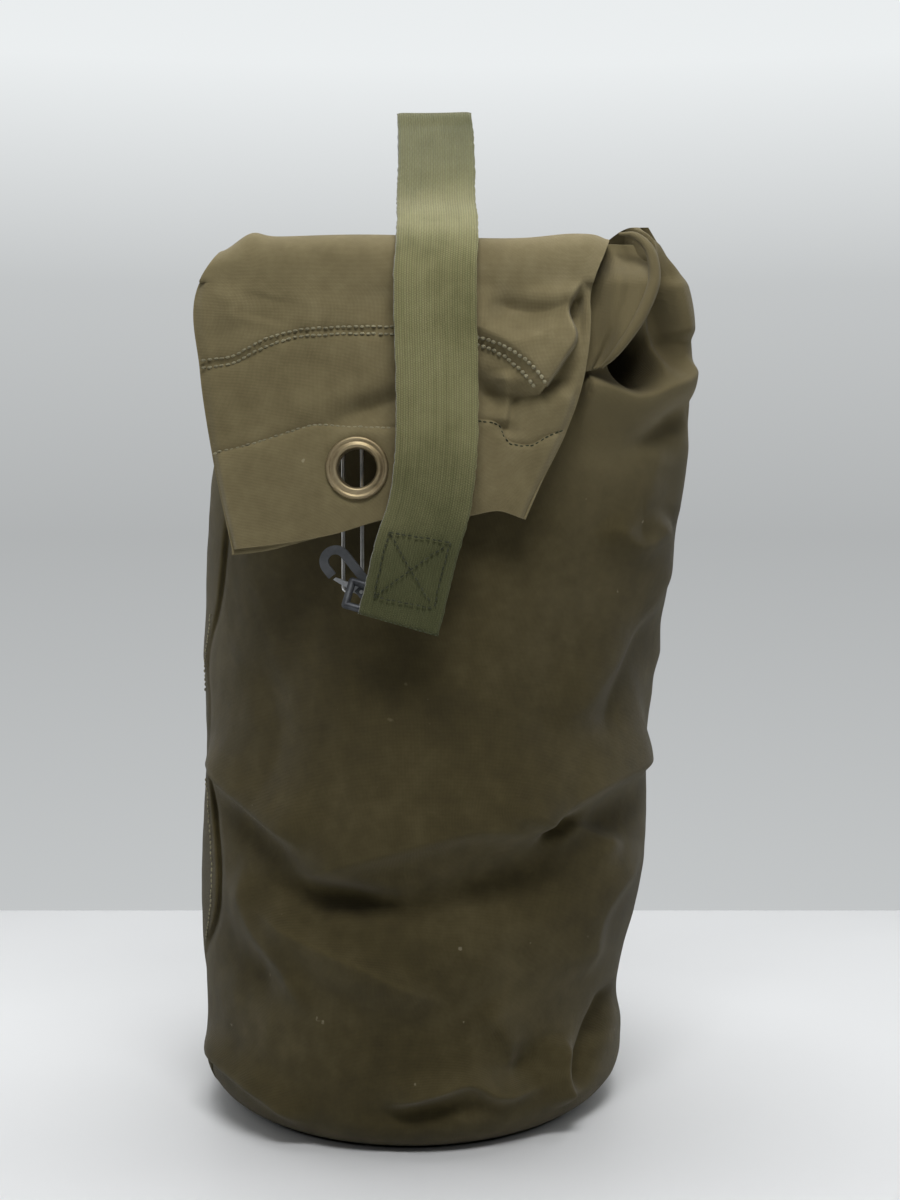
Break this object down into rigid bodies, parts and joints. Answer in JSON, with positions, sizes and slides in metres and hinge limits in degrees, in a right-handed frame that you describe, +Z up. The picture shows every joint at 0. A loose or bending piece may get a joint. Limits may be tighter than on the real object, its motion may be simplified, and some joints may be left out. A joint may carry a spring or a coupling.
{
  "type": "duffel bag",
  "caption": "Cylindrical canvas duffel bag with a flattened mouth folded down the front, metal grommets, a wide web carrying strap and a snap hook.",
  "frame": {"origin": "centre of the round base where it rests on the ground", "axes": "+Z up along the bag's height; the folded mouth and the snap hook face -Y; +X is to the right seen from the front"},
  "size_m": [0.33, 0.3614, 0.6961],
  "materials": {
    "canvas": "matt olive-brown cotton duck",
    "canvas_band": "matt cotton duck, lighter and worn",
    "webbing": "ribbed olive-green cotton web",
    "grommet": "dull lacquered brass",
    "wire": "bright zinc-plated wire",
    "hook_metal": "dark grey blackened steel"
  },
  "bodies": {
    "bag": {"canvas_body": "canvas", "bottom_disc": "canvas", "bottom_seam_band": "canvas_band", "side_seam_strip": "canvas_band", "strap_web": "webbing", "strap_anchor_patch": "canvas_band"},
    "mouth_flap": {"flap_canvas": "canvas", "hem_band": "canvas_band", "grommet_1": "grommet", "grommet_2": "grommet", "grommet_3": "grommet", "grommet_4": "grommet", "grommet_washer_1": "grommet", "grommet_washer_2": "grommet", "grommet_washer_3": "grommet", "grommet_washer_4": "grommet", "staple_plate": "wire", "staple_rivets": "wire"},
    "staple": {"closing_staple": "wire"},
    "strap_end": {"strap_front_web": "webbing"},
    "snap_hook": {"hook_frame": "hook_metal", "gate_pin": "hook_metal"},
    "gate": {"gate_leaf": "hook_metal"}
  },
  "joints": [
    {"name": "flap_unfold", "type": "hinge", "parent": "bag", "child": "mouth_flap", "pos_m": [-0.004, -0.15, 0.588], "axis": [-1, 0, 0], "range_deg": [0, 75]},
    {"name": "staple_swing", "type": "hinge", "parent": "mouth_flap", "child": "staple", "pos_m": [-0.052, -0.1649, 0.485], "axis": [1, 0, 0], "range_deg": [0, 70]},
    {"name": "strap_lift", "type": "hinge", "parent": "mouth_flap", "child": "strap_end", "pos_m": [-0.004, -0.196, 0.572], "axis": [-1, 0, 0], "range_deg": [0, 45]},
    {"name": "hook_swing", "type": "hinge", "parent": "strap_end", "child": "snap_hook", "pos_m": [-0.0278, -0.19215, 0.357], "axis": [-0.9613, 0, 0.2756], "range_deg": [0, 10]},
    {"name": "gate_open", "type": "hinge", "parent": "snap_hook", "child": "gate", "pos_m": [-0.04565, -0.181, 0.37248], "axis": [0, 1, 0], "range_deg": [0, 14], "stiffness_Nm_per_rad": 0.02, "springref_deg": -9.74}
  ],
  "couplings": [
    {"joint": "staple_swing", "follows": "flap_unfold", "ratio": 0.9}
  ]
}
